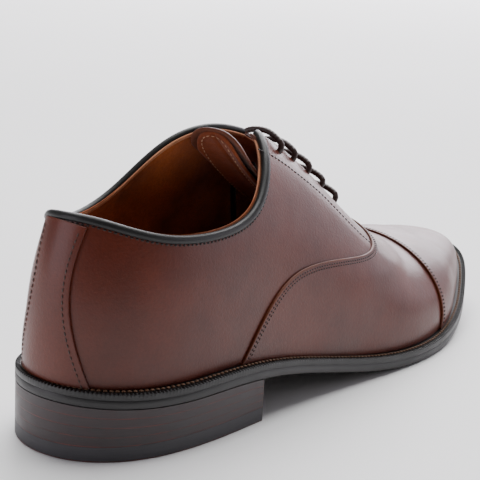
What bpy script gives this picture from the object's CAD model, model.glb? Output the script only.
import math
import bmesh
import bpy
import numpy as np
from mathutils import Matrix, Vector


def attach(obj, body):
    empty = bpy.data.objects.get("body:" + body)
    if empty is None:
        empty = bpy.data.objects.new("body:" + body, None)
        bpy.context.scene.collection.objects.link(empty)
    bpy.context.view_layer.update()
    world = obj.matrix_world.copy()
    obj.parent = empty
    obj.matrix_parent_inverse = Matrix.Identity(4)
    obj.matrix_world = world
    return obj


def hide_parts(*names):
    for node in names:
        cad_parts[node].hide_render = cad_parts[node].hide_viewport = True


# Leather oxford shoe, right foot. The form is worked out in millimetres and made in metres.
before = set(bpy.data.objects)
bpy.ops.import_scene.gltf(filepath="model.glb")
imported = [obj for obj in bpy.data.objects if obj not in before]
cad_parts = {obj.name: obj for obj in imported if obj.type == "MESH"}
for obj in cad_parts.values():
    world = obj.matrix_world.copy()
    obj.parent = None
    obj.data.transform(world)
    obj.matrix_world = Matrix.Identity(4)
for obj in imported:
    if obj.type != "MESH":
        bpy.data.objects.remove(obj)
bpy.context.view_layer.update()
MM = 0.001
SHOE = "shoe"
TONGUE_BODY = "tongue"

# ---- driving dimensions, the same as the frame's ----
LENGTH = 302.0
THICK = 6.5
WELT_T = 2.9
TOP_PIECE_T = 6.0
LIFTS = 4
BREAST_X = -64.0
LEATHER = 1.4
LINING_T = 1.0
LINING_OUT = -2.85
FIT = 0.05
LACE_R = 1.3
LINING_END = 42.0
STEP = 1e-4
LATERAL = [-7, -29, -44, -48, -46, -49, -55, -44, -24, -9, 10]
MEDIAL = [-7, 15, 28, 31, 31, 41, 53, 54, 44, 30, 10]
SEAT_Z = 26.0
BALL_Z = 6.5
HEEL_RISE = 3.0
SEAT_END = -100.0
BALL_X = 58.0
TOE_RISE = 19.5
RIDGE = [114, 120, 123, 120, 111, 95, 68, 46, 42, 38, 30]
RIDGE_Y = [-8, -6, 1, 7, 10]
REAR = -106.0
FRONT = 114.0
MARGIN = [2.8, 4.5, 5, 5, 5, 5, 5]
BULGE = [3.5, 3, 2.5, 2.5, 3.5, 2, 1]
RISE = [0.65, 0.45, 0.4, 0.4, 0.6, 0.6, 0.55]
FULL = [0.48, 0.56, 0.64, 0.42, 0.6, 0.66, 0.68]
TOPLINE = [(-0.44, 0.94), (-0.42, 0.72), (-0.385, 0.49), (-0.33, 0.42), (-0.26, 0.43), (-0.18, 0.465),
           (-0.09, 0.48), (0, 0.46), (0.09, 0.46), (0.17, 0.43), (0.25, 0.415), (0.31, 0.49),
           (0.355, 0.7), (0.4, 0.85), (0.44, 0.92)]
WING = [(43, 1), (40, 0.78), (33, 0.57), (16, 0.42), (-15, 0.35), (-42, 0.29), (-62, 0.15), (-74, 0)]
UNDER = [(50, 1), (47, 0.74), (39, 0.5), (18, 0.335), (-15, 0.265), (-36, 0.2), (-52, 0.08), (-63, 0)]
CAP_X = 75.0
CAP_SWEEP = 4.0
STRIP_HALF = [0.1, 0.07, 0.052, 0.055, 0.07]
STRIP_TOP = 0.425
EYELET_X = [22, 11, 0, -11, -22]
EYELET_H = {-1: 0.80, 1: 0.755}
FACING = {-1: (0.94, 0.955), 1: (0.92, 0.94)}
FACING_ROW = [(-42, 0.75), (-30, 0.74), (-14, 0.69), (0, 0.67), (12, 0.625), (22, 0.585), (30, 0.57)]
TONGUE = [(35, 53.5), (20, 62), (5, 70), (-10, 78), (-25, 87), (-39, 97), (-52, 108), (-60, 115)]
TONGUE_Y = [4, 3, 1, -1, -4, -6.5, -8, -9.5]
TONGUE_HALF = [11.5, 11.5, 11.5, 11.5, 11.5, 11.5, 12.5, 15]
TONGUE_DROOP = (2.0, 4.0)
TONGUE_SKEW = 0.2
TAILS = {-1: [(-13, -13.5, 85.5), (-12.4, -23.3, 70.7), (-11.4, -33, 47.9), (-10.8, -36.2, 30),
              (-3, -37, 19), (20, -39.4, 14), (40, -40.4, 12), (59, -38, 11.8), (78, -32.4, 14),
              (94, -24.5, 16.8)],
         1: [(-22.6, 9.5, 90.5), (-20, 13, 82), (-14, 17.5, 71), (-6.5, 22.5, 57), (2, 27, 42),
             (11, 31, 28), (22, 34, 18), (38, 38, 13), (58, 41, 11.8), (79, 41, 14.2), (92, 38.5, 16.4)]}
INSIDE = -6.3
TAIL_START = 2.5
SIDES = {-1: "lateral", 1: "medial"}


# ---- curves ----
def curve(padded, i, t):
    """Uniform cubic B-spline of a list of numbers or points, at span i and share t of it."""
    w = [(1 - t) ** 3 / 6, (3 * t ** 3 - 6 * t * t + 4) / 6, (3 * t * (1 + t - t * t) + 1) / 6, t ** 3 / 6]
    if padded.ndim > 1:
        w = [a[..., None] for a in w]
    return sum(w[k] * padded[i + k] for k in range(4))


def along(values, s):
    """Curve through the first and last values, s from 0 to 1."""
    v = np.asarray(values, float)
    n = len(v) - 1
    s = np.clip(np.asarray(s, float), 0, 1) * n
    i = np.minimum(s.astype(int), n - 1)
    return curve(np.concatenate([[2 * v[0] - v[1]], v, [2 * v[-1] - v[-2]]]), i, s - i)


def even(values, s):
    """Curve that meets its own mirror image smoothly at both ends."""
    v = np.asarray(values, float)
    n = len(v) - 1
    s = np.clip(np.asarray(s, float), 0, 1) * n
    i = np.minimum(s.astype(int), n - 1)
    return curve(np.concatenate([[v[1]], v, [v[-2]]]), i, s - i)


def at_x(values, x):
    return along(values, x / LENGTH + 0.5)


def ease(a, b, x):
    t = np.clip((x - a) / (b - a), 0, 1)
    return t ** 3 * (t * (6 * t - 15) + 10)


def smooth(a, b, x):
    t = np.clip((x - a) / (b - a), 0, 1)
    return t * t * (3 - 2 * t)


def mix(a, b, t):
    return a + (b - a) * t


def welt_top(x):
    back = np.maximum(SEAT_END - x, 0) / (LENGTH / 2 + SEAT_END)
    front = np.maximum(x - BALL_X, 0) / (LENGTH / 2 - BALL_X)
    return (SEAT_Z + HEEL_RISE * back ** 2 - (SEAT_Z - BALL_Z) * ease(SEAT_END, BALL_X, x)
            + TOE_RISE * front ** 1.7)


# ---- plan of the sole ----
def edge(side, t):
    y = np.where(side < 0, along(LATERAL, t), along(MEDIAL, t))
    return -LENGTH / 2 * np.cos(np.pi * t), y


def inset(side, t, distance):
    ax, ay = edge(side, np.maximum(t - STEP, 0))
    bx, by = edge(side, np.minimum(t + STEP, 1))
    dx, dy = bx - ax, by - ay
    size = np.hypot(dx, dy)
    x, y = edge(side, t)
    return x + side * dy / size * distance, y - side * dx / size * distance


def feather(side, t):
    return inset(side, t, even(MARGIN, t))


SHARES = np.linspace(0, 1, 601)
FEATHER_X = {side: feather(np.full(601, side), SHARES)[0] for side in (-1, 1)}


def share(side, x):
    """Share of the outline at which the featherline passes station x."""
    return np.where(side < 0, np.interp(x, FEATHER_X[-1], SHARES), np.interp(x, FEATHER_X[1], SHARES))


def on_side(side, x, h):
    return side * share(side, x), np.maximum(h, 0.0)


# ---- surface of the upper ----
def soft_min(a, b, k=26.0):
    h = np.maximum(k - np.abs(a - b), 0) / k
    return np.minimum(a, b) - h ** 3 * k / 6


def ridge(x):
    x = -soft_min(-soft_min(x, FRONT), -REAR)
    return x, at_x(RIDGE_Y, x), at_x(RIDGE, x)


def skin(s, h):
    """Points of the upper: s runs from -1 (toe, lateral) by 0 (heel) to 1, and h from sole to ridge."""
    s, h = np.broadcast_arrays(np.asarray(s, float), np.asarray(h, float))
    side = np.where(s < 0, -1, 1)
    t = np.abs(s)
    fx, fy = feather(side, t)
    fz = welt_top(fx) + FIT
    cx, cy, cz = ridge(fx)
    ox, oy = fx - cx, fy - cy
    w = np.hypot(ox, oy)
    ox, oy = ox / w, oy / w
    slope = (at_x(RIDGE, cx + 1) - at_x(RIDGE, cx - 1)) / 2
    bulge = even(BULGE, t)
    full = even(FULL, t) * w
    p = [np.stack(q, -1) for q in
         ((fx, fy, fz),
          (fx + ox * bulge, fy + oy * bulge, fz + even(RISE, t) * (cz - fz)),
          (cx + ox * full, cy + oy * full, cz + slope * ox * full),
          (cx, cy, cz))]
    a = [(1 - h) ** 3, 3 * h * (1 - h) ** 2, 3 * h * h * (1 - h), h ** 3]
    return sum(a[i][..., None] * p[i] for i in range(4))


def wrap(s):
    """Shares past the toe carry on along the other side."""
    return np.where(s > 1, s - 2, np.where(s < -1, s + 2, s))


def unit(v):
    return v / np.maximum(np.linalg.norm(v, axis=-1, keepdims=True), 1e-12)


def normal(s, h):
    """Outward unit normals of the skin."""
    d = 1e-4
    s, h = np.broadcast_arrays(np.asarray(s, float), np.clip(h, d, 0.995))
    n = unit(np.cross(skin(wrap(s + d), h) - skin(wrap(s - d), h), skin(s, h + d) - skin(s, h - d)))
    x, y, z = ridge(feather(np.where(s < 0, -1, 1), np.abs(s))[0])
    out = ((skin(s, h) - np.stack([x, y, z - 60], -1)) * n).sum(-1, keepdims=True)
    return np.where(out > 0, n, -n)


def lifted(s, h, depth):
    """Points above the skin by depth, or below it if depth is negative."""
    s = wrap(np.asarray(s, float))
    return skin(s, h) + normal(s, h) * np.asarray(depth, float)[..., None]


def grid(nu, nv, u0=0.0, u1=1.0, v0=0.0, v1=1.0):
    return np.meshgrid(np.linspace(u0, u1, nu), np.linspace(v0, v1, nv), indexing="ij")


# ---- meshes ----
SAME_PLACE = 1e-7


def piece(name, vertices, faces, material, body=SHOE, slot=None, nodes=(), sharp=45, bevel=0.0):
    """Closed mesh from points in millimetres, riding on a body and standing for CAD nodes."""
    mesh = bpy.data.meshes.new(name)
    mesh.from_pydata((np.asarray(vertices, float).reshape(-1, 3) * MM).tolist(), [], faces)
    made = bmesh.new()
    made.from_mesh(mesh)
    bmesh.ops.remove_doubles(made, verts=made.verts, dist=SAME_PLACE)
    bmesh.ops.dissolve_degenerate(made, edges=made.edges, dist=SAME_PLACE)
    bmesh.ops.recalc_face_normals(made, faces=made.faces)
    for face in made.faces:
        face.smooth = True
    made.to_mesh(mesh)
    made.free()
    mesh.set_sharp_from_angle(angle=math.radians(sharp))
    obj = bpy.data.objects.new(name, mesh)
    bpy.context.scene.collection.objects.link(obj)
    for each in (material if isinstance(material, (list, tuple)) else [material]):
        mesh.materials.append(each)
    if bevel:
        round_off = obj.modifiers.new("round", "BEVEL")
        round_off.width = bevel * MM
        round_off.segments = 3
        round_off.limit_method = "ANGLE"
        round_off.angle_limit = math.radians(50)
        round_off.harden_normals = True
    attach(obj, body)
    if nodes:
        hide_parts(*nodes)
    return obj


def grid_faces(nu, nv, start=0, wrap_u=False, wrap_v=False):
    faces = []
    for i in range(nu if wrap_u else nu - 1):
        for j in range(nv if wrap_v else nv - 1):
            a, b = i, (i + 1) % nu
            c, d = j, (j + 1) % nv
            faces.append((start + a * nv + c, start + b * nv + c, start + b * nv + d, start + a * nv + d))
    return faces


def plate(name, outer, inner, material, **kind):
    """Closed sheet between an outer and an inner grid of points."""
    nu, nv = outer.shape[:2]
    half = nu * nv
    faces = grid_faces(nu, nv) + [f[::-1] for f in grid_faces(nu, nv, half)]
    ring = [i * nv for i in range(nu)] + [(nu - 1) * nv + j for j in range(1, nv)]
    ring += [i * nv + nv - 1 for i in range(nu - 2, -1, -1)] + [j for j in range(nv - 2, 0, -1)]
    for a, b in zip(ring, ring[1:] + ring[:1]):
        faces.append((a, half + a, half + b, b))
    points = np.concatenate([outer.reshape(-1, 3), inner.reshape(-1, 3)])
    return piece(name, points, faces, material, **kind)


def skin_plate(name, place, low, high, nu, nv, material, **kind):
    """Sheet over a patch of the upper: low and high give its depths."""
    u, v = grid(nu, nv)
    s, h = place(u, v)
    lows = low(u, v) if callable(low) else np.full(u.shape, low)
    highs = high(u, v) if callable(high) else np.full(u.shape, high)
    return plate(name, lifted(s, h, highs), lifted(s, h, lows), material, **kind)


def ladder(start, half):
    """Cap of a loop whose second half runs back beside the first: one rung per pair of points."""
    size = 2 * half
    rungs = [(i, i + 1, size - i - 1, (size - i) % size) for i in range(half)]
    return [tuple(start + k for k in dict.fromkeys(rung)) for rung in rungs]


def rings(name, loops, material, closed_ends=True, rungs=False, **kind):
    """Solid from a row of closed loops of points, all of the same count."""
    loops = np.asarray(loops)
    count, size = loops.shape[:2]
    faces = grid_faces(count, size, wrap_v=True)
    if rungs:
        faces += ladder(0, size // 2) + ladder((count - 1) * size, size // 2)
    elif closed_ends:
        faces += [tuple(range(size)), tuple((count - 1) * size + k for k in range(size - 1, -1, -1))]
    else:
        faces = grid_faces(count, size, wrap_u=True, wrap_v=True)
    return piece(name, loops, faces, material, **kind)


def frames(path):
    """Side and up along a path, turned as little as possible."""
    tangent = unit(np.gradient(path, axis=0))
    up = np.zeros_like(path)
    start = np.array([0.3, 0.2, 0.93])
    up[0] = unit(start - tangent[0] * start.dot(tangent[0]))
    for i in range(1, len(path)):
        turned = up[i - 1] - tangent[i] * up[i - 1].dot(tangent[i])
        up[i] = turned / np.linalg.norm(turned)
    return np.cross(tangent, up), up


def run_along(path):
    """Length run from the start of a path to each of its points."""
    return np.concatenate([[0], np.cumsum(np.linalg.norm(np.diff(path, axis=0), axis=1))])


def resample(path, step):
    """Points evenly spaced along a path, and the length run to each."""
    lengths = run_along(path)
    count = max(int(round(lengths[-1] / step)), 2)
    wanted = np.linspace(0, lengths[-1], count + 1)
    return np.stack([np.interp(wanted, lengths, path[:, c]) for c in range(3)], -1), wanted


STITCH_RINGS = 7
STITCH_SIDES = 8
STITCH_TIP = 0.08
STITCH_SINK = 0.16
STITCH_LIFT = 0.1


def stitches(name, path, ups, material, pitch, size, width, height=0.3, slot="welt_thread", **kind):
    """A row of stitches: slim rounded grains along a path, sunk at both ends."""
    fine, wanted = resample(path, pitch / 8)
    lengths = run_along(path)
    up_fine = unit(np.stack([np.interp(wanted, lengths, ups[:, c]) for c in range(3)], -1))
    total = wanted[-1]
    count = max(int(total / pitch), 1)
    points, faces = [], []
    for k in range(count):
        middle = (k + 0.5) * total / count
        base = len(points) * STITCH_SIDES
        for r in range(STITCH_RINGS):
            q = -1 + 2 * r / (STITCH_RINGS - 1)
            at = middle + q * size / 2
            i = min(max(at / total, 0), 1) * (len(fine) - 1)
            low = min(int(i), len(fine) - 2)
            spot = mix(fine[low], fine[low + 1], i - low)
            up = up_fine[low]
            forward = unit(fine[low + 1] - fine[low])
            across = np.cross(forward, up)
            swell = mix(STITCH_TIP, 1, math.sqrt(max(1 - q * q, 0.0)))
            rise = STITCH_LIFT - STITCH_SINK * q * q
            loop = []
            for m in range(STITCH_SIDES):
                angle = 2 * math.pi * m / STITCH_SIDES
                loop.append(spot + across * width / 2 * swell * math.cos(angle)
                            + up * (height / 2 * swell * math.sin(angle) + rise))
            points.append(loop)
        faces += [tuple(base + x for x in f) for f in grid_faces(STITCH_RINGS, STITCH_SIDES, wrap_v=True)]
        faces.append(tuple(base + x for x in range(STITCH_SIDES)))
        end = base + (STITCH_RINGS - 1) * STITCH_SIDES
        faces.append(tuple(end + x for x in range(STITCH_SIDES - 1, -1, -1)))
    return piece(name, np.array(points), faces, material, slot=slot, **kind)


def skin_row(s, h, depth):
    """Points and normals of a row on the upper."""
    return lifted(s, h, np.full(np.shape(s), depth)), normal(wrap(np.asarray(s, float)), h)


def beside(path, ups, distance):
    """The same row, moved sideways along the surface."""
    across = unit(np.cross(ups, np.gradient(path, axis=0)))
    return path + across * distance


# ---- materials ----
class Nodes:
    """Short hand for building one material's node tree."""

    def __init__(self, name):
        self.material = bpy.data.materials.new(name)
        self.material.use_nodes = True
        self.tree = self.material.node_tree
        self.shader = self.tree.nodes["Principled BSDF"]
        self.place = self.add("ShaderNodeTexCoord").outputs["Object"]

    def add(self, kind, settings=None, **inputs):
        node = self.tree.nodes.new(kind)
        for key, value in (settings or {}).items():
            setattr(node, key, value)
        for key, value in inputs.items():
            self.put(node.inputs[key.replace("_", " ")], value)
        return node

    def put(self, socket, value):
        if isinstance(value, bpy.types.NodeSocket):
            self.tree.links.new(value, socket)
        elif hasattr(socket.default_value, "__len__") and len(value) == 3:
            socket.default_value = (*value, 1.0) if len(socket.default_value) == 4 else value
        else:
            socket.default_value = value

    def noise(self, scale, detail=3.0, place=None, rough=0.5):
        """Noise whose features are about 1 / scale metres across."""
        made = self.add("ShaderNodeTexNoise", Vector=place or self.place, Scale=scale, Detail=detail,
                        Roughness=rough)
        return made.outputs["Fac"]

    def cells(self, scale, place=None):
        made = self.add("ShaderNodeTexVoronoi", Vector=place or self.place, Scale=scale)
        return made.outputs["Distance"]

    def ramp(self, fac, stops):
        node = self.add("ShaderNodeValToRGB", Fac=fac)
        marks = node.color_ramp.elements
        while len(marks) < len(stops):
            marks.new(0.5)
        for mark, (where, colour) in zip(marks, stops):
            mark.position = where
            mark.color = (*colour, 1.0) if hasattr(colour, "__len__") else (colour, colour, colour, 1.0)
        return node.outputs["Color"]

    def blend(self, fac, a, b, how="MIX"):
        node = self.add("ShaderNodeMix", {"data_type": "RGBA", "blend_type": how})
        for socket, value in ((node.inputs[0], fac), (node.inputs[6], a), (node.inputs[7], b)):
            self.put(socket, value)
        return node.outputs[2]

    def stretch(self, amounts):
        """Object coordinates scaled by axis."""
        return self.add("ShaderNodeMapping", Vector=self.place, Scale=amounts).outputs[0]

    def bump(self, *layers):
        """Layers of (height, strength, distance in metres)."""
        last = None
        for height, strength, distance in layers:
            node = self.add("ShaderNodeBump", Height=height, Strength=strength, Distance=distance)
            if last:
                self.put(node.inputs["Normal"], last)
            last = node.outputs[0]
        self.put(self.shader.inputs["Normal"], last)

    def finish(self, colour, rough, **fixed):
        self.put(self.shader.inputs["Base Color"], colour)
        self.put(self.shader.inputs["Roughness"], rough)
        for key, value in fixed.items():
            self.shader.inputs[key.replace("_", " ")].default_value = value
        return self.material


def polished_leather(name, deep, warm, rough=(0.3, 0.4), coat=0.35, grain=0.12):
    """Smooth calf: fine pores, faint break lines, and polish that varies softly."""
    n = Nodes(name)
    tone = n.ramp(n.noise(38, 4), [(0.32, deep), (0.68, warm)])
    speckle = n.ramp(n.noise(900, 2), [(0.35, (0.82,) * 3), (0.65, (1.06,) * 3)])
    colour = n.blend(0.55, tone, n.blend(1.0, tone, speckle, "MULTIPLY"))
    gloss = n.ramp(n.noise(120, 4), [(0.3, rough[0]), (0.7, rough[1])])
    n.bump((n.noise(55, 3), 0.1, 0.0008),
           (n.noise(750, 2), grain, 0.00022),
           (n.cells(1300), grain, 0.0001))
    return n.finish(colour, gloss, Specular_IOR_Level=0.25, Coat_Weight=coat, Coat_Roughness=0.27)


def suede_leather(name, deep, warm, rough=0.85):
    """Matt lining leather with nap and soft stains."""
    n = Nodes(name)
    broad = n.ramp(n.noise(45, 4), [(0.3, deep), (0.7, warm)])
    fine = n.ramp(n.noise(1100, 4), [(0.3, (0.72,) * 3), (0.7, (1.15,) * 3)])
    colour = n.blend(0.8, broad, n.blend(1.0, broad, fine, "MULTIPLY"))
    gloss = n.ramp(n.noise(400, 3), [(0.3, rough - 0.1), (0.7, rough + 0.05)])
    n.bump((n.noise(60, 3), 0.4, 0.003), (n.noise(1500, 5, rough=0.7), 0.35, 0.00015))
    return n.finish(colour, gloss, Specular_IOR_Level=0.3, Sheen_Weight=0.1, Sheen_Roughness=0.5)


def edge_leather(name, deep, warm, rough=(0.36, 0.52), lines=0.0, coat=0.15):
    """Dressed or stacked edge: level layers with fine fibre along them."""
    n = Nodes(name)
    fibre = n.noise(1.0, 4, n.stretch((60, 60, 1900)))
    mottle = n.noise(160, 4)
    colour = n.blend(0.5, n.ramp(fibre, [(0.3, deep), (0.72, warm)]),
                     n.ramp(mottle, [(0.3, deep), (0.7, warm)]))
    gloss = n.ramp(mottle, [(0.3, rough[0]), (0.7, rough[1])])
    n.bump((fibre, 0.12 + lines, 0.00012), (n.noise(900, 3), 0.12, 0.0001))
    return n.finish(colour, gloss, Specular_IOR_Level=0.45, Coat_Weight=coat, Coat_Roughness=0.3)


def thread(name, deep, warm, rough=0.6):
    n = Nodes(name)
    twist = n.noise(2600, 2)
    colour = n.ramp(twist, [(0.3, deep), (0.7, warm)])
    gloss = n.ramp(n.noise(700, 2), [(0.3, rough - 0.08), (0.7, rough + 0.08)])
    n.bump((twist, 0.4, 0.0001))
    return n.finish(colour, gloss, Specular_IOR_Level=0.4)


def metal(name, colour, rough=0.32):
    n = Nodes(name)
    brushed = n.noise(1.0, 3, n.stretch((200, 3000, 3000)))
    tint = n.ramp(brushed, [(0.3, tuple(0.85 * c for c in colour)), (0.7, colour)])
    gloss = n.ramp(brushed, [(0.3, rough - 0.06), (0.7, rough + 0.08)])
    n.bump((brushed, 0.1, 0.00005))
    return n.finish(tint, gloss, Metallic=1.0)


UPPER = polished_leather("upper_leather", (0.068, 0.009, 0.0026), (0.1, 0.0145, 0.0044), (0.42, 0.5),
                         coat=0.32, grain=0.4)
CUT_EDGE = polished_leather("folded_edge", (0.075, 0.015, 0.004), (0.13, 0.03, 0.008), (0.42, 0.52), 0.1)
BINDING = polished_leather("binding", (0.006, 0.006, 0.006), (0.013, 0.0125, 0.0125), (0.4, 0.52), 0.1, 0.3)
LINING = suede_leather("lining", (0.16, 0.036, 0.007), (0.42, 0.105, 0.024))
TONGUE_SUEDE = suede_leather("tongue_suede", (0.14, 0.026, 0.005), (0.25, 0.052, 0.011))
TONGUE_EDGE = suede_leather("tongue_edge", (0.1, 0.026, 0.01), (0.17, 0.048, 0.02), 0.7)
LINING_EDGE = suede_leather("lining_edge", (0.4, 0.15, 0.07), (0.55, 0.24, 0.12))
INSOLE = suede_leather("insole_leather", (0.4, 0.22, 0.1), (0.5, 0.29, 0.15))
BOARD = suede_leather("board", (0.35, 0.25, 0.16), (0.45, 0.33, 0.22))
CORK = suede_leather("cork", (0.2, 0.11, 0.05), (0.42, 0.26, 0.13))
SOLE = edge_leather("sole_edge", (0.006, 0.0055, 0.006), (0.014, 0.0125, 0.013), (0.4, 0.54), coat=0.1)
TREAD = edge_leather("tread", (0.02, 0.015, 0.013), (0.045, 0.032, 0.026), (0.5, 0.65), coat=0.05)
STACK = edge_leather("heel_stack", (0.016, 0.0125, 0.014), (0.04, 0.021, 0.0225), (0.4, 0.54), 0.05, 0.1)
LIFT_LINE = edge_leather("lift_line", (0.02, 0.01, 0.01), (0.15, 0.035, 0.028), (0.5, 0.6))
RUBBER = edge_leather("top_piece", (0.03, 0.028, 0.032), (0.05, 0.047, 0.053), (0.5, 0.62), coat=0.0)
SEAM_THREAD = thread("seam_thread", (0.006, 0.002, 0.0015), (0.02, 0.007, 0.005))
STRIP_THREAD = thread("strip_thread", (0.02, 0.01, 0.007), (0.07, 0.04, 0.03))
WELT_THREAD = thread("welt_thread", (0.07, 0.032, 0.015), (0.2, 0.1, 0.05))
LIGHT_THREAD = thread("light_thread", (0.3, 0.15, 0.08), (0.5, 0.3, 0.18))
LACE = thread("lace", (0.018, 0.0065, 0.0055), (0.042, 0.015, 0.0115), 0.42)
AGLET = polished_leather("aglet", (0.018, 0.008, 0.006), (0.028, 0.012, 0.009), (0.15, 0.22), 0.6, 0.02)
BRASS = metal("eyelet_brass", (0.62, 0.5, 0.28))
STEEL = metal("steel", (0.55, 0.55, 0.56))

CARRIED = {"insole": INSOLE, "insole_rib": INSOLE, "cork_filler": CORK, "shank": STEEL, "heel_nails": STEEL,
           "lateral_eyelets": BRASS, "medial_eyelets": BRASS, "heel_counter": BOARD, "toe_puff": BOARD,
           "lateral_facing_stay": CUT_EDGE, "medial_facing_stay": CUT_EDGE}
for name, each in CARRIED.items():
    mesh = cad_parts[name].data
    mesh.materials.clear()
    mesh.materials.append(each)


# ---- quarters and their linings ----
TOP_T = np.linspace(0, 1, 4001)
TOP_S = along(TOPLINE, TOP_T)[:, 0]


def top_at(s):
    return np.interp(s, TOP_S, TOP_T)


BACK_GAP = 0.0008


def rear_patch(side):
    """Patch from the back seam to the foot of the wing line, up to the topline."""
    start = side * BACK_GAP
    foot = float(side * share(side, UNDER[-1][0]))
    corner = 0.0 if side < 0 else 1.0

    def place(u, v):
        low = np.stack([start + (foot - start) * u, np.zeros_like(u)], -1)
        high = along(TOPLINE, top_at(start) + (corner - top_at(start)) * u)
        made = mix(low, high, v[..., None])
        return made[..., 0], made[..., 1]
    return place


def front_patch(side, bottom, front):
    """Patch in front of the rear one, up to the facing: bottom and front give its lower and front borders."""
    corner = along(TOPLINE, 0.0 if side < 0 else 1.0)
    foot = np.array([float(side * share(side, UNDER[-1][0])), 0.0])
    x0 = float(np.interp(abs(corner[0]), SHARES, FEATHER_X[side]))
    x1 = float(front(np.array(1.0))[0])
    rim0, rim1 = FACING[side]

    def flat(x, h):
        return np.stack(np.broadcast_arrays(*on_side(side, x, h)), -1)

    def place(u, v):
        low = flat(*bottom(u))
        right = flat(*front(v))
        high = flat(x0 + (x1 - x0) * u, rim0 + (rim1 - rim0) * u)
        high = mix(corner, high, smooth(0, 0.05, u)[..., None])
        left = mix(foot, corner, v[..., None])
        ends = [flat(*front(np.array(q))) for q in (0.0, 1.0)]
        square = mix(mix(foot, ends[0], u[..., None]), mix(corner, ends[1], u[..., None]), v[..., None])
        made = mix(left, right, u[..., None]) + mix(low, high, v[..., None]) - square
        return made[..., 0], made[..., 1]
    return place


def quarter_front(side):
    line = np.linspace(0, 0.5, 501)
    start = float(np.interp(-FACING[side][1], -along(UNDER, line)[:, 1], line))
    turn = 0.55

    def split(t):
        made = along(UNDER, t)
        return made[..., 0], made[..., 1]
    return front_patch(side, lambda u: split(1 + (turn - 1) * u), lambda v: split(turn + (start - turn) * v))


def lining_front(side):
    foot = UNDER[-1][0]
    return front_patch(side, lambda u: (foot + (LINING_END - foot) * u, np.zeros_like(u)),
                       lambda v: (np.full_like(v, LINING_END), FACING[side][1] * v))


def joined(rear, front, nu, nv):
    """(s, h) grids of two patches that share a border."""
    spots = [place(*grid(count, nv)) for place, count in ((rear, nu[0]), (front, nu[1]))]
    return [np.concatenate([spots[0][k], spots[1][k][1:]]) for k in (0, 1)]


for side, side_name in SIDES.items():
    rear = rear_patch(side)
    s, h = joined(rear, quarter_front(side), (150, 90), 56)
    depth = np.zeros_like(s)
    plate(side_name + "_quarter_leather", lifted(s, h, depth), lifted(s, h, depth - LEATHER), UPPER,
          slot="upper_leather", nodes=[side_name + "_quarter"], bevel=0.35)
    s, h = joined(rear, lining_front(side), (110, 60), 40)
    rim = np.broadcast_to(np.linspace(0, 1, 40), s.shape)
    top = smooth(0.93, 1.0, rim)
    depth = LINING_OUT - LINING_T + 0.9 * top
    plate(side_name + "_lining_leather", lifted(s, h + 0.012 * top, np.full(s.shape, LINING_OUT + 0.55)),
          lifted(s, h + 0.012 * top, depth), LINING, slot="lining", nodes=[side_name + "_lining"], bevel=0.3)

# ---- back strip and heel grip ----
STRIP_OUT = 1.25
STRIP_HEM = 2.5
GRIP_HALF = 0.085
GRIP_FOOT = 0.09
GRIP_TOP = 0.42
GRIP_T = 0.8
GRIP_OUT = LINING_OUT - LINING_T - FIT


def strip_place(u, v):
    """The strip's top runs a little way under the binding."""
    return along(STRIP_HALF, v) * (2 * u - 1), STRIP_TOP * 1.04 * v


def grip_place(u, v):
    return GRIP_HALF * (2 * u - 1), mix(GRIP_FOOT, GRIP_TOP, v)


skin_plate("back_strip_leather", strip_place, FIT, STRIP_OUT, 40, 90, UPPER, slot="upper_leather",
           nodes=["back_strip"], bevel=0.4)
skin_plate("heel_grip_leather", grip_place, GRIP_OUT - GRIP_T, GRIP_OUT, 40, 50, LINING, slot="lining",
           nodes=["heel_grip"], bevel=0.3)
STRIP_ROW = np.linspace(0.015, 0.985, 160)
for side, side_name in SIDES.items():
    s = along(STRIP_HALF, STRIP_ROW) * side
    path, ups = skin_row(s, STRIP_TOP * STRIP_ROW, STRIP_OUT)
    stitches(side_name + "_strip_stitches", beside(path, ups, -STRIP_HEM * side), ups, STRIP_THREAD,
             pitch=2.3, size=1.7, width=0.55)

# ---- rolled binding along the topline ----
ROLL = [(-2.3, 0.02), (-2.25, 0.55), (-1.8, 1.0), (-1.0, 1.2), (-0.2, 1.1), (0.5, 0.75), (0.95, 0.15),
        (1.1, -0.55), (1.0, -1.3), (0.6, -1.9), (0.0, -2.1), (-1.2, -2.1), (-1.2, -1.5), (-1.6, -0.1),
        (-2.3, -0.1)]
BEAD = [(0.2, -2.3), (0.95, -2.4), (1.15, -2.8), (0.95, -3.2), (0.2, -3.3), (-1.0, -3.2), (-1.0, -2.5)]


def topline_frame(t):
    """Points of the topline's skin, with the way up in the skin across it, and the normal."""
    s, h = along(TOPLINE, t)[..., 0], along(TOPLINE, t)[..., 1]
    path, ups = skin_row(s, h, 0.0)
    rise = unit(np.cross(ups, unit(np.gradient(path, axis=0))))
    return path, ups, rise * np.sign(rise[len(rise) // 2, 2])


def swept(path, ways, ups, profile):
    """Loops of a profile carried along a path: each point's way across it and its height."""
    return np.stack([path + ways * a + ups * b for a, b in profile], 1)


TOPLINE_ROW = 2.75
path, ups, rise = topline_frame(np.linspace(0, 1, 420))
rings("topline_binding_roll", swept(path, rise, ups, ROLL), BINDING, slot="binding",
      nodes=["topline_binding"], sharp=70)
stitches("topline_stitches", path - rise * TOPLINE_ROW, ups, SEAM_THREAD, pitch=2.1, size=1.5, width=0.8,
         height=0.5)
rings("lining_edge_bead", swept(path, rise, ups, BEAD), LINING_EDGE, slot="lining", sharp=70)

# ---- facing stitches ----
for side, side_name in SIDES.items():
    row = along(FACING_ROW, np.linspace(0, 1, 160))
    s, h = on_side(side, row[:, 0], row[:, 1])
    path, ups = skin_row(s, h, 0.0)
    stitches(side_name + "_facing_stitches", path, ups, SEAM_THREAD, pitch=2.4, size=1.9, width=0.8,
             height=0.45)


# ---- vamp, toe cap and their lining ----
def cap_x(a):
    return CAP_X - CAP_SWEEP * a * a


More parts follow.
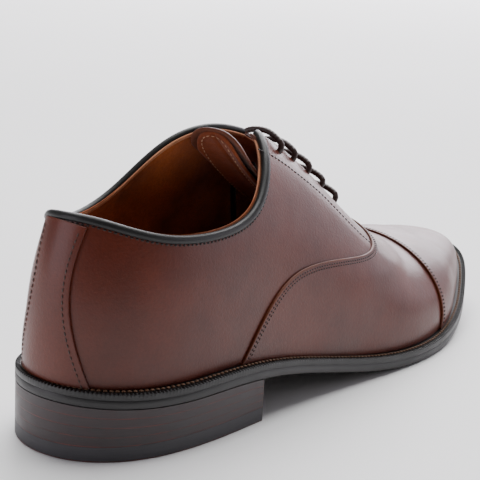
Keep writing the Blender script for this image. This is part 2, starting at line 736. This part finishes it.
def vamp_place(u, v):
    q = 2 * u - 1
    side = np.where(q < 0, -1, 1)
    wing = along(WING, np.abs(q))
    x, a = wing[..., 0], 1 - np.maximum(wing[..., 1], 0)
    b = (a + np.abs(q)) / 2
    x, a = x + (cap_x(b) + 8 - x) * v, a + (b - a) * v
    return on_side(side, x, 1 - a)


def vamp_depth(rise, rest):
    return lambda u, v: rise + (rest - rise) * smooth(0.34, 0.6, v)


VAMP_TOP = 0.9
skin_plate("vamp_leather", vamp_place, vamp_depth(FIT, -1.1), vamp_depth(VAMP_TOP, 0.1), 241, 90, UPPER,
           slot="upper_leather", nodes=["vamp"], bevel=0.4)
FOLD = [(-0.1, 0.02), (-0.22, 0.45), (-0.1, 0.85), (0.2, 1.02), (0.6, 0.98), (0.7, 0.5), (0.4, 0.1)]
SEAM_STEP = 0.5


def lapped_seam(name, s, h, foot, top, gaps, ends):
    """Folded edge of an upper layer and its rows of stitches, gaps behind the fold, up on the layer's top."""
    path, ups = skin_row(s, h, 0.0)
    path = resample(path, SEAM_STEP)[0]
    shares = np.linspace(0, 1, len(path))
    ups = unit(np.stack([np.interp(shares, np.linspace(0, 1, len(ups)), ups[:, c]) for c in range(3)], -1))
    across = unit(np.cross(ups, np.gradient(path, axis=0)))
    across *= np.sign(across[len(across) // 2, 0])
    rings(name + "_edge", swept(path + ups * foot, across, ups, FOLD), CUT_EDGE, slot="upper_leather",
          sharp=70)
    for k, gap in enumerate(gaps):
        row = path + across * gap + ups * top
        stitches(name + "_stitches_" + str(k + 1), row[ends:-ends], ups[ends:-ends], SEAM_THREAD,
                 pitch=1.8, size=1.2, width=0.5)


WING_T = np.linspace(1, -1, 700)
wing = along(WING, np.abs(WING_T))
lapped_seam("wing", *on_side(np.where(WING_T > 0, -1, 1), wing[:, 0], wing[:, 1]), foot=0.0, top=VAMP_TOP,
            gaps=(1.5, 2.7), ends=6)


def plan(s, h):
    """Plan position in which rays from the ridge stay straight."""
    x, y = feather(np.where(s < 0, -1, 1), np.abs(s))
    cx, cy, _ = ridge(x)
    return np.stack([cx + (x - cx) * (1 - h), cy + (y - cy) * (1 - h)], -1)


def unplan(x, y):
    """(s, h) of a plan position in front of the ball."""
    side = np.where(y < at_x(RIDGE_Y, np.minimum(x, FRONT)), -1, 1)
    low, high = np.full(x.shape, 0.45), np.ones(x.shape)
    for _ in range(30):
        mid = (low + high) / 2
        fx, fy = feather(side, mid)
        cx, cy, _ = ridge(fx)
        before = side * ((fx - cx) * (y - cy) - (fy - cy) * (x - cx)) < 0
        low, high = np.where(before, mid, low), np.where(before, high, mid)
    fx, fy = feather(side, low)
    cx, cy, _ = ridge(fx)
    return side * low, 1 - np.minimum(np.hypot(x - cx, y - cy) / np.hypot(fx - cx, fy - cy), 1)


TOE_TURN = 0.45


def toe_patch(line):
    """Patch from a line across the upper to the toe's rim."""
    feet = [float(share(side, line(1.0))) for side in (-1, 1)]
    turns = [t + TOE_TURN * (1 - t) for t in feet]

    def rim(side, t):
        return np.stack(np.broadcast_arrays(*feather(side, t)), -1)

    def place(u, v):
        q = 2 * u - 1
        side = np.where(q < 0, -1, 1)
        near = plan(*on_side(side, line(np.abs(q)), 1 - np.abs(q)))
        t = np.where(q < 0, turns[0], turns[1])
        far = rim(side, 1 - (1 - t) * np.abs(q))
        left = rim(-1, feet[0] + (turns[0] - feet[0]) * v)
        right = rim(1, feet[1] + (turns[1] - feet[1]) * v)
        u, v = u[..., None], v[..., None]
        corners = [rim(-1, feet[0]), rim(1, feet[1]), rim(-1, turns[0]), rim(1, turns[1])]
        square = mix(mix(corners[0], corners[1], u), mix(corners[2], corners[3], u), v)
        point = mix(left, right, u) + mix(near, far, v) - square
        return unplan(point[..., 0], point[..., 1])
    return place


def cap_depth(rise, rest):
    return lambda u, v: rise + (rest - rise) * smooth(0.22, 0.5, v)


CAP_TOP = 1.1
CAP_FOOT = 0.15
VAMP_LINING_X = 43.5
skin_plate("toe_cap_leather", toe_patch(cap_x), cap_depth(CAP_FOOT, -1.2), cap_depth(CAP_TOP, 0.2), 161, 80,
           UPPER, slot="upper_leather", nodes=["toe_cap"], bevel=0.4)
skin_plate("vamp_lining_leather", toe_patch(lambda a: VAMP_LINING_X + 0 * a), LINING_OUT - LINING_T,
           LINING_OUT, 61, 40, LINING, slot="lining", nodes=["vamp_lining"])
CAP_T = np.linspace(-0.995, 0.995, 400)
lapped_seam("cap", *on_side(np.where(CAP_T < 0, -1, 1), cap_x(np.abs(CAP_T)), 1 - np.abs(CAP_T)),
            foot=CAP_FOOT, top=CAP_TOP, gaps=(1.4, 2.6), ends=4)


# ---- tongue ----
TONGUE_ROUND = 0.13


def tongue_points(u, v, depth, hem):
    """Points of the tongue: u from foot to tip, v across it, at a depth and a hem in from its border."""
    q = 2 * v - 1
    u = u * (1 - TONGUE_ROUND * np.abs(q) ** 3)
    at = along(TONGUE, u)
    step = unit(along(TONGUE, np.minimum(u + 0.001, 1)) - along(TONGUE, np.maximum(u - 0.001, 0)))
    half = along(TONGUE_HALF, u) - hem
    droop = (TONGUE_DROOP[0] + (TONGUE_DROOP[1] - TONGUE_DROOP[0]) * u) * q * q + depth
    return np.stack([at[..., 0] - step[..., 1] * droop - TONGUE_SKEW * u * u * half * q,
                     along(TONGUE_Y, u) + half * q, at[..., 1] + step[..., 0] * droop], -1)


def pillow(u, v, ends=0.035, sides=0.07):
    """1 in the middle of a sheet, falling off in a round over its borders."""
    a = np.clip(np.minimum(u, 1 - u) / ends, 0, 1)
    b = np.clip(np.minimum(v, 1 - v) / sides, 0, 1)
    return np.sqrt(1 - (1 - a) ** 2) * np.sqrt(1 - (1 - b) ** 2)


u, v = grid(110, 60)
round_u, round_v = np.sin((u - 0.5) * np.pi) / 2 + 0.5, np.sin((v - 0.5) * np.pi) / 2 + 0.5
full = pillow(round_u, round_v)
made = plate("tongue_leather", tongue_points(round_u, round_v, 0.8 - 0.8 * full, 0.0),
             tongue_points(round_u, round_v, 0.8 + 0.8 * full, 0.0), [UPPER, TONGUE_EDGE], body=TONGUE_BODY,
             slot="upper_leather", nodes=["tongue"], sharp=80)
for face in made.data.polygons:
    face.material_index = int(0.64 * face.normal.x + 0.77 * face.normal.z < 0.3)
inner_u = 0.04 + 0.94 * round_u
crease = 0.9 * np.exp(-((round_v - 0.47) / 0.035) ** 2) * smooth(0.3, 0.7, round_u)
PATCH_HEM = 3.0
plate("tongue_lining_leather", tongue_points(inner_u, round_v, 1.65 + 0 * u, PATCH_HEM),
      tongue_points(inner_u, round_v, 1.75 + (1.5 - crease) * full, PATCH_HEM), TONGUE_SUEDE,
      body=TONGUE_BODY, slot="lining", nodes=["tongue_lining"], sharp=80)
PATCH = [(0.45, 0), (0.65, 0), (0.82, 0.0), (0.93, 0.05), (0.965, 0.25), (0.97, 0.5), (0.965, 0.75),
         (0.93, 0.95), (0.82, 1), (0.65, 1), (0.45, 1)]
ROW_HEM = 4.6
row = along(PATCH, np.linspace(0, 1, 300))
path = tongue_points(row[:, 0], row[:, 1], 3.25, ROW_HEM)
ups = unit(tongue_points(row[:, 0], row[:, 1], 4.2, ROW_HEM) - path)
stitches("tongue_patch_stitches", path, ups, LIGHT_THREAD, body=TONGUE_BODY, pitch=2.4, size=1.7, width=0.5)

# ---- lace ----
HOLES = {side: [(float(side * share(side, x)), EYELET_H[side]) for x in EYELET_X] for side in (-1, 1)}
LOOP_TOP = 2.9
SHOULDER = (0.89, 3.1)
CROWN = (0.97, 2.6)


def above(spot, depth):
    """Point over a spot (s, h) of the upper, or under it if depth is negative."""
    return lifted(np.array(spot[0]), np.array(spot[1]), np.array(float(depth)))


def over_ridge(side, x, h, depth):
    return above([float(c) for c in on_side(side, x, h)], depth)


def bar(row, start):
    """Points of a bar over the throat, from one side's hole to the other's."""
    a, b = HOLES[start][row], HOLES[-start][row]
    x = EYELET_X[row]
    return [above(a, INSIDE), above(a, LOOP_TOP), over_ridge(start, x, *SHOULDER), over_ridge(start, x, *CROWN),
            over_ridge(-start, x, *SHOULDER), above(b, LOOP_TOP), above(b, INSIDE)]


def bow(side, row, shift):
    """A point under the facing that passes beside an eyelet."""
    s, h = HOLES[side][row]
    return above((s, h + shift), INSIDE - 0.4)


ROUTE = bar(3, -1) + [bow(1, 2, -0.055)] + bar(1, 1) + bar(0, -1)
ROUTE += [bow(1, 1, 0.055)] + bar(2, 1) + [bow(-1, 3, 0.055)] + bar(4, -1)


def nurbs(name, points):
    """One open smooth curve with the points as its control points."""
    made = bpy.data.curves.new(name, "CURVE")
    made.dimensions = "3D"
    spline = made.splines.new("NURBS")
    spline.points.add(len(points) - 1)
    for point, place in zip(spline.points, points):
        point.co = (*[float(c) * MM for c in place], 1.0)
    spline.order_u = 3
    spline.use_endpoint_u = True
    made.resolution_u = 24
    obj = bpy.data.objects.new(name, made)
    bpy.context.scene.collection.objects.link(obj)
    return obj


def line_of(obj):
    """Points along a curve object's own line, in millimetres."""
    mesh = bpy.data.meshes.new_from_object(obj)
    points = np.array([v.co[:] for v in mesh.vertices]) / MM
    bpy.data.meshes.remove(mesh)
    return points


BRAID_SIDES = 16
BRAID_PITCH = 3.6
BRAID_STEP = 0.3
BRAID_DEPTH = 0.07
STRANDS = 4
TURN = 2 * np.pi * np.arange(BRAID_SIDES) / BRAID_SIDES


def tube_loops(path, radius):
    """Loops round a path: radius has a row for each point and a column for each side, or one column."""
    sideways, up = frames(path)
    return (path[:, None] + sideways[:, None] * (np.cos(TURN)[None] * radius)[..., None]
            + up[:, None] * (np.sin(TURN)[None] * radius)[..., None])


guide = nurbs("lace_guide", ROUTE)
path = resample(line_of(guide), BRAID_STEP)[0]
bpy.data.objects.remove(guide)
twist = (np.arange(len(path)) * BRAID_STEP)[:, None] * 2 * np.pi / BRAID_PITCH
weave = np.cos(STRANDS * TURN[None] + twist) * np.cos(STRANDS * TURN[None] - twist)
rings("lace_braid", tube_loops(path, LACE_R * (1 + BRAID_DEPTH * weave)), LACE, slot="lace", nodes=["lace"],
      sharp=80)

# ---- free ends of the lace, tucked away inside ----
FIRST = {-1: (ROUTE[0], ROUTE[1]), 1: (ROUTE[-1], ROUTE[-2])}
AGLET_RUN = np.array([0, 0.15, 0.5, 3, 6, 9, 11.2, 11.8, 12.0])
AGLET_R = (LACE_R - 0.1) * np.array([0.7, 0.95, 1.02, 1, 1, 0.98, 0.94, 0.8, 0.5])
for side, side_name in SIDES.items():
    end, before = FIRST[side]
    way = unit(end - before)
    points = [end + way * 2 * FIT, end + way * TAIL_START] + [np.array(p, float) for p in TAILS[side]]
    cord = nurbs("lace_end_" + side_name + "_braid", points)
    cord.data.bevel_depth = LACE_R * MM
    cord.data.bevel_resolution = 4
    cord.data.use_fill_caps = True
    cord.data.materials.append(LACE)
    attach(cord, SHOE)
    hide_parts("lace_end_" + side_name)
    way = unit(points[-1] - points[-2])
    loops = tube_loops(points[-1] + way * AGLET_RUN[:, None], AGLET_R[:, None])
    tip = rings("aglet_" + side_name, loops, AGLET, slot="aglet", nodes=["aglets"])
    [float(c) * MM for c in points[0]]

# ---- sole ----
AROUND = 720


def contour(distance, count=AROUND):
    """Closed plan of the sole edge moved in by distance: lateral side to the toe, then medial side back."""
    t = np.arange(count) / count
    x0, y0 = inset(-np.ones(count), t, np.full(count, distance))
    x1, y1 = inset(np.ones(count), 1 - t, np.full(count, distance))
    return np.concatenate([np.stack([x0, y0], -1), np.stack([x1, y1], -1)])


def sole_loop(distance, height, count=AROUND):
    flat = contour(distance, count)
    return np.column_stack([flat, height(flat[:, 0])])


def below(depth):
    return lambda x: welt_top(x) - depth


OUTSOLE_PROFILE = [(9, WELT_T + FIT), (0.04, WELT_T + FIT), (0.0, WELT_T + 0.09), (0.0, THICK - 0.7),
                   (0.2, THICK - 0.2), (0.7, THICK), (9, THICK), (20, THICK)]
made = rings("outsole_leather", [sole_loop(d, below(z)) for d, z in OUTSOLE_PROFILE], [SOLE, TREAD],
             slot="sole_edge", nodes=["outsole"], sharp=60, rungs=True)
for face in made.data.polygons:
    face.material_index = int(face.normal.z < -0.9)

WHEEL = 1.6
WHEEL_DEPTH = 0.45
WELT_COUNT = 1600
rim = sole_loop(0.0, below(0.0), WELT_COUNT)
ridges = 0.5 + 0.5 * np.cos(2 * np.pi * run_along(rim[:, :2]) / WHEEL)
WELT_PROFILE = [(12, WELT_T, 0), (0.04, WELT_T, 0), (0.0, WELT_T - 0.04, 0), (0.0, 0.75, 0), (0.06, 0.3, 1),
                (0.25, 0.05, 1.3), (0.8, -0.1, 1.5), (1.6, -0.05, 1.4), (1.9, 0.2, 0.5), (2.2, 0.35, 0),
                (12, 0.1, 0)]
loops = []
for distance, depth, wheeled in WELT_PROFILE:
    loop = sole_loop(distance, below(depth), WELT_COUNT)
    loop[:, 2] -= WHEEL_DEPTH * wheeled * ridges
    loops.append(loop)
rings("welt_leather", loops, SOLE, closed_ends=False, slot="sole_edge", nodes=["welt"], sharp=60)
WELT_SEAM = 2.8
row = sole_loop(WELT_SEAM, below(0.0), WELT_COUNT)
row = np.concatenate([row, row[:1]])
stitches("welt_seam", row, np.tile([0.0, 0.0, 1.0], (len(row), 1)), WELT_THREAD, pitch=2.3, size=1.9,
         width=1.3, height=0.9, nodes=["welt_stitching"])


# ---- heel ----
HALF_PLAN = 240


def plan_behind(distance, limit, bow, count):
    """Closed plan of the sole moved in by distance, and cut off at limit by a line that bows forward."""
    flat = contour(distance, HALF_PLAN)
    keep = flat[:, 0] <= limit
    lateral, medial = flat[:HALF_PLAN][keep[:HALF_PLAN]], flat[HALF_PLAN:][keep[HALF_PLAN:]]
    shares = np.linspace(0, 1, 41)
    cut = np.column_stack([limit + bow * np.sin(np.pi * shares), mix(lateral[-1, 1], medial[0, 1], shares)])
    closed = np.concatenate([lateral, cut, medial, lateral[:1]])
    lengths = run_along(closed)
    wanted = np.linspace(0, lengths[-1], count + 1)[:-1]
    return np.column_stack([np.interp(wanted, lengths, closed[:, c]) for c in (0, 1)])


def heel_loop(distance, height):
    """Loop of the heel's wall: the sole's outline behind a straight breast."""
    made = plan_behind(0.1 + distance, BREAST_X - distance * 0.6, 0.0, 400)
    return np.column_stack([made, height(made[:, 0])])


def ground(x):
    return 0.0 * x


def top_piece_top(x):
    return ground(x) + TOP_PIECE_T - FIT


def lift_height(i):
    return lambda x: TOP_PIECE_T + (welt_top(x) - THICK - FIT - TOP_PIECE_T) * i / LIFTS


LINE_FOOT = 0.34
LIFT_GAP = 0.005


def layer(name, low, high, wall, node, slot):
    """One layer of the heel: its wall, with a soft edge and a thin seam line at its foot."""
    def between(q, drop):
        return lambda x: low(x) + (high(x) - low(x)) * q + drop
    steps = [(4, 0, 0), (0.02, 0, 0), (0, 0, 0.02), (0, 0, LINE_FOOT), (0, 1, 0), (4, 1, 0)]
    made = rings(name, [heel_loop(d, between(q, drop)) for d, q, drop in steps], [wall, LIFT_LINE],
                 slot=slot, nodes=[node], sharp=60)
    for face in made.data.polygons:
        middle = face.center / MM
        if abs(face.normal.z) < 0.9:
            face.material_index = int(middle.z < low(np.array(middle.x)) + LINE_FOOT - 0.04)


layer("top_piece_rubber", ground, top_piece_top, RUBBER, "top_piece", "top_piece")
for i in range(LIFTS):
    layer("heel_lift_leather_" + str(i + 1), lift_height(i), lambda x, i=i: lift_height(i + 1)(x) - LIFT_GAP,
          STACK, "heel_lift_" + str(i + 1), "heel_stack")

# ---- sock lining in the heel seat ----
PAD_INSET = 11.6
PAD_FRONT = -62.0
PAD_BOW = 6.0
PAD_PROFILE = [(6, 2.65), (0, 2.65), (0, 3.1), (0.3, 3.45), (6, 3.5)]


def pad_loop(distance, height):
    """Loop of the sock lining, at a height over the welt's top."""
    made = plan_behind(PAD_INSET + distance, PAD_FRONT - distance, PAD_BOW, 300)
    return np.column_stack([made, welt_top(made[:, 0]) + height])


rings("sock_lining_leather", [pad_loop(d, z) for d, z in PAD_PROFILE], INSOLE, slot="lining",
      nodes=["sock_lining"])

# ---- floor, lights and camera ----
AIM = Vector((-0.0196, 0.0075, 0.05626))
AZIMUTH, ELEVATION, ROLL = (math.radians(a) for a in (-49.94, 15.74, 3.05))
DISTANCE = 0.6282
back = Vector((math.sin(AZIMUTH) * math.cos(ELEVATION), -math.cos(AZIMUTH) * math.cos(ELEVATION),
               math.sin(ELEVATION)))
right = Vector((math.cos(AZIMUTH), math.sin(AZIMUTH), 0))
level = back.cross(right)
right, level = (right * math.cos(ROLL) + level * math.sin(ROLL),
                level * math.cos(ROLL) - right * math.sin(ROLL))
camera = bpy.data.objects.new("camera", bpy.data.cameras.new("camera"))
bpy.context.scene.collection.objects.link(camera)
camera.data.lens = 106.3
camera.data.sensor_width = 36.0
camera.matrix_world = Matrix((right, level, back)).transposed().to_4x4()
camera.location = AIM + back * DISTANCE
bpy.context.scene.camera = camera

FLOOR_HALF = 6.0
FLOOR_Z = -0.0002
corners = [(x * FLOOR_HALF, y * FLOOR_HALF, FLOOR_Z) for x, y in ((-1, -1), (1, -1), (1, 1), (-1, 1))]
floor_mesh = bpy.data.meshes.new("floor")
floor_mesh.from_pydata(corners, [], [(0, 1, 2, 3)])
floor = bpy.data.objects.new("floor", floor_mesh)
bpy.context.scene.collection.objects.link(floor)
n = Nodes("floor")
floor_mesh.materials.append(n.finish(n.ramp(n.noise(3, 2), [(0.3, (0.93,) * 3), (0.7, (0.95,) * 3)]), 0.7,
                                     Specular_IOR_Level=0.2))


def softbox(name, place, target, size, power, colour):
    data = bpy.data.lights.new(name, "AREA")
    data.shape = "RECTANGLE"
    data.size, data.size_y = size
    data.energy = power
    data.color = colour
    lamp = bpy.data.objects.new(name, data)
    bpy.context.scene.collection.objects.link(lamp)
    lamp.location = place
    lamp.rotation_euler = (Vector(target) - Vector(place)).to_track_quat("-Z", "Y").to_euler()


HEART = (0.0, 0.0, 0.05)
sky = bpy.data.objects.new("sky_light", bpy.data.lights.new("sky_light", "SUN"))
sky.data.energy = 5.0
sky.data.angle = math.radians(60)
sky.rotation_euler = Vector((-0.45, -0.3, -1)).to_track_quat("-Z", "Y").to_euler()
bpy.context.scene.collection.objects.link(sky)
softbox("flank_light", (1.35, -0.75, 0.5), HEART, (1.5, 0.7), 7, (0.96, 0.9, 1.0))
softbox("rear_light", (-1.25, 0.55, 0.45), HEART, (0.9, 0.8), 6, (0.96, 0.9, 1.0))
softbox("far_light", (2.25, 1.3, 0.94), HEART, (2.5, 1.45), 97, (0.97, 0.93, 1.0))
world = bpy.data.worlds.new("world")
bpy.context.scene.world = world
world.use_nodes = True
world.node_tree.nodes["Background"].inputs["Color"].default_value = (1.0, 1.0, 1.0, 1.0)
world.node_tree.nodes["Background"].inputs["Strength"].default_value = 0.1
